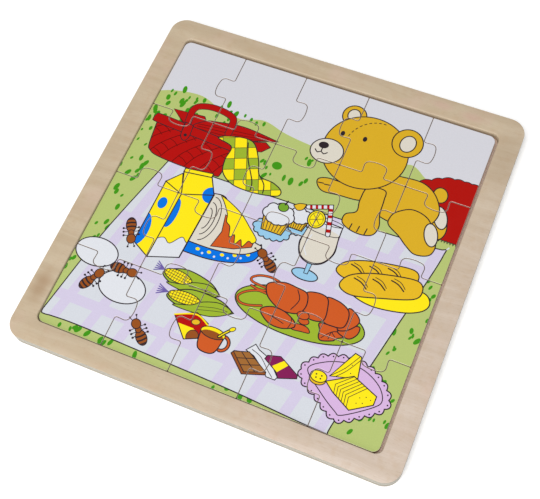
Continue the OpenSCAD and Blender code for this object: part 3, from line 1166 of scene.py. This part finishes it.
def base_wood():
    made, tree, shader, place, normal = material("base_ply")
    grain = use(tree, GRAIN, {"Place": place, "Figure": 1.0, "Fibre": 1.0})
    plies = use(tree, PLIES, {"Height": part_of(tree, place, "Z"), "Ply": 1.0, "Place": place})
    marks = use(tree, HANDLING, {"Place": place, "Size": 0.04})
    face = blend(tree, grain.outputs["Figure"], colour(208, 184, 170), colour(222, 200, 184))
    face = blend(tree, maths(tree, "MULTIPLY", grain.outputs["Fibre"], 0.4), face, colour(190, 162, 144))
    face = blend(tree, maths(tree, "MULTIPLY", grain.outputs["Pores"], 0.45), face, colour(120, 88, 68))
    side = blend(tree, plies.outputs["Cross ply"], colour(168, 165, 151), colour(158, 152, 137))
    side = blend(tree, maths(tree, "MULTIPLY", plies.outputs["Glue line"], 0.35), side, colour(134, 110, 84))
    side = blend(tree, fade(tree, plies.outputs["End fibres"], 0.3, 0.75, 0.0, 0.25),
                 side, colour(162, 142, 112))
    base = blend(tree, upright(tree, normal), face, side)
    base = blend(tree, maths(tree, "MULTIPLY", marks.outputs["Smudge"], 0.12), base, colour(150, 126, 108))
    tree.links.new(base, shader.inputs["Base Color"])
    tree.links.new(fade(tree, grain.outputs["Fibre"], 0, 1, 0.6, 0.75), shader.inputs["Roughness"])
    tree.links.new(bump(tree, grain.outputs["Height"], 0.0001, 0.6), shader.inputs["Normal"])
    return made


def piece_wood():
    made, tree, shader, place, normal = material("piece_ply")
    grain = use(tree, GRAIN, {"Place": place, "Figure": 1.0, "Fibre": 1.0})
    plies = use(tree, PLIES, {"Height": part_of(tree, place, "Z"), "Ply": 1.2, "Place": place})
    marks = use(tree, HANDLING, {"Place": place, "Size": 0.08})
    face = blend(tree, grain.outputs["Figure"], colour(204, 178, 140), colour(216, 194, 158))
    face = blend(tree, maths(tree, "MULTIPLY", grain.outputs["Fibre"], 0.35), face, colour(190, 160, 120))
    face = blend(tree, maths(tree, "MULTIPLY", grain.outputs["Pores"], 0.4), face, colour(142, 110, 76))
    side = blend(tree, plies.outputs["Cross ply"], colour(176, 144, 110), colour(154, 120, 88))
    side = blend(tree, maths(tree, "MULTIPLY", plies.outputs["Glue line"], 0.5), side, colour(92, 62, 40))
    side = blend(tree, fade(tree, plies.outputs["End fibres"], 0.3, 0.75, 0.0, 0.35),
                 side, colour(112, 80, 54))
    base = blend(tree, upright(tree, normal), face, side)
    base = blend(tree, maths(tree, "MULTIPLY", marks.outputs["Smudge"], 0.12), base, colour(150, 120, 88))
    tree.links.new(base, shader.inputs["Base Color"])
    tree.links.new(fade(tree, grain.outputs["Fibre"], 0, 1, 0.6, 0.78), shader.inputs["Roughness"])
    tree.links.new(bump(tree, grain.outputs["Height"], 0.0001, 0.6), shader.inputs["Normal"])
    return made


def printed_paper():
    made, tree, shader, place, normal = material("varnished_print")
    marks = use(tree, HANDLING, {"Place": place, "Size": 0.06})
    ink = node(tree, "ShaderNodeAttribute", attribute_name="ink").outputs["Color"]
    cut = node(tree, "ShaderNodeAttribute", attribute_name="cut_edge").outputs["Fac"]
    mottle = noise(tree, place, 0.9, 3, 0.6)
    base = blend(tree, fade(tree, mottle, 0.3, 0.7, 0.0, 0.07), ink, colour(200, 196, 190), "MULTIPLY")
    base = blend(tree, fade(tree, noise(tree, place, 3.5, 2), 0.35, 0.65, 0.0, 0.05), base,
                 colour(150, 140, 150), "MULTIPLY")
    # The bare paper at the cut shows pale, and it is painted whiter still along every seam as a painted
    # highlight on the rounded edges.
    uneven = fade(tree, noise(tree, place, 0.5, 2), 0.2, 0.6, 0.35, 0.7)
    worn_edge_and_highlight = maths(tree, "MULTIPLY", fade(tree, cut, 0.35, 0.9), uneven)
    base = blend(tree, worn_edge_and_highlight, base, colour(216, 202, 194))
    side = upright(tree, normal)
    base = blend(tree, side, base, colour(190, 168, 150))
    tree.links.new(base, shader.inputs["Base Color"])
    rough = fade(tree, marks.outputs["Smudge"], 0, 1, 0.30, 0.40)
    tree.links.new(maths(tree, "ADD", rough, maths(tree, "MULTIPLY", marks.outputs["Dust"], 0.1)),
                   shader.inputs["Roughness"])
    shader.inputs["Specular IOR Level"].default_value = 0.12
    tree.links.new(fade(tree, cut, 0.1, 0.6, 0.0, 0.8), shader.inputs["Coat Weight"])
    shader.inputs["Coat Roughness"].default_value = 0.22
    fibres = maths(tree, "ADD", noise(tree, place, 5.0, 3, 0.6),
                   maths(tree, "MULTIPLY", noise(tree, place, 0.12, 2), 3.0))
    tree.links.new(bump(tree, fibres, 0.00003, 0.5), shader.inputs["Normal"])
    return made


def floor_paint():
    made, tree, shader, place, _ = material("studio_floor")
    tone = fade(tree, noise(tree, place, 0.02, 2), 0.3, 0.7)
    tree.links.new(blend(tree, tone, colour(250, 250, 250), colour(252, 252, 252)),
                   shader.inputs["Base Color"])
    shader.inputs["Roughness"].default_value = 0.9
    shader.inputs["Specular IOR Level"].default_value = 0.1
    shader.inputs["Emission Color"].default_value = (1, 1, 1, 1)
    shader.inputs["Emission Strength"].default_value = 0.12
    return made


# ---------------------------------------------------------------- putting it together
def dress(piece, finish, body, slot, *nodes):
    piece.data.materials.clear()
    piece.data.materials.append(finish)
    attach(piece, body)
    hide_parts(*nodes)


clear_selection()
PLY_FINISH, PRINT_FINISH = piece_wood(), printed_paper()
dress(rim_board(), rim_wood(), "tray", "rim_wood", "tray_rim")
dress(base_board(), base_wood(), "tray", "base_board", "tray_base")
for cell in CELLS:
    dress(plywood_piece(cell), PLY_FINISH, "loose_" + cell, "piece_plywood", "piece_" + cell)
    sheet = printed_sheet(cell)
    shade(sheet, 50)
    dress(sheet, PRINT_FINISH, "loose_" + cell, "printed_paper", "picture_" + cell)


# ---------------------------------------------------------------- floor, light and camera
def stage_floor():
    clear_selection()
    bpy.ops.mesh.primitive_plane_add(size=8, location=(0, 0, BASE_LOW.z - 0.05 * MM))
    floor = bpy.context.object
    floor.name = "floor"
    floor.data.materials.append(floor_paint())


def softbox(name, azimuth, elevation, distance, size, watts, tint):
    """A square studio light that looks at the tray. Azimuth 0 is in front, 90 at the right."""
    a, e = math.radians(azimuth), math.radians(elevation)
    way = Vector((math.sin(a) * math.cos(e), -math.cos(a) * math.cos(e), math.sin(e)))
    lamp = bpy.data.lights.new(name, "AREA")
    lamp.shape = "SQUARE"
    lamp.size = size
    lamp.energy = watts
    lamp.color = tint
    stand = bpy.data.objects.new(name, lamp)
    bpy.context.scene.collection.objects.link(stand)
    stand.location = way * distance
    stand.rotation_mode = "QUATERNION"
    stand.rotation_quaternion = (-way).to_track_quat("-Z", "Y")


def studio():
    world = bpy.data.worlds.new("studio")
    world.use_nodes = True
    world.node_tree.nodes["Background"].inputs["Color"].default_value = (0.97, 0.98, 1.0, 1.0)
    world.node_tree.nodes["Background"].inputs["Strength"].default_value = 0.36
    bpy.context.scene.world = world
    bpy.context.scene.view_settings.view_transform = "Standard"
    softbox("key", azimuth=2, elevation=70, distance=3.0, size=1.8, watts=67, tint=(1.0, 0.99, 0.98))
    softbox("front", azimuth=-13, elevation=21, distance=1.8, size=1.0, watts=8, tint=(1.0, 1.0, 1.0))


def camera_stand():
    """The camera, by where it looks from and at."""
    azimuth, elevation, roll = math.radians(30.5), math.radians(64.9), math.radians(-8.47)
    aim, distance = Vector((5.1 * MM, -19.9 * MM, RIM_HIGH.z)), 724.5 * MM
    back = Vector((math.sin(azimuth) * math.cos(elevation), -math.cos(azimuth) * math.cos(elevation),
                   math.sin(elevation)))
    lens = bpy.data.cameras.new("camera")
    lens.lens = 65.5
    lens.sensor_width = 36
    lens.clip_start, lens.clip_end = 0.01, 20
    camera = bpy.data.objects.new("camera", lens)
    bpy.context.scene.collection.objects.link(camera)
    camera.location = aim + back * distance
    camera.rotation_mode = "QUATERNION"
    camera.rotation_quaternion = (-back).to_track_quat("-Z", "Y") @ Quaternion((0, 0, 1), roll)
    bpy.context.scene.camera = camera


stage_floor()
studio()
camera_stand()
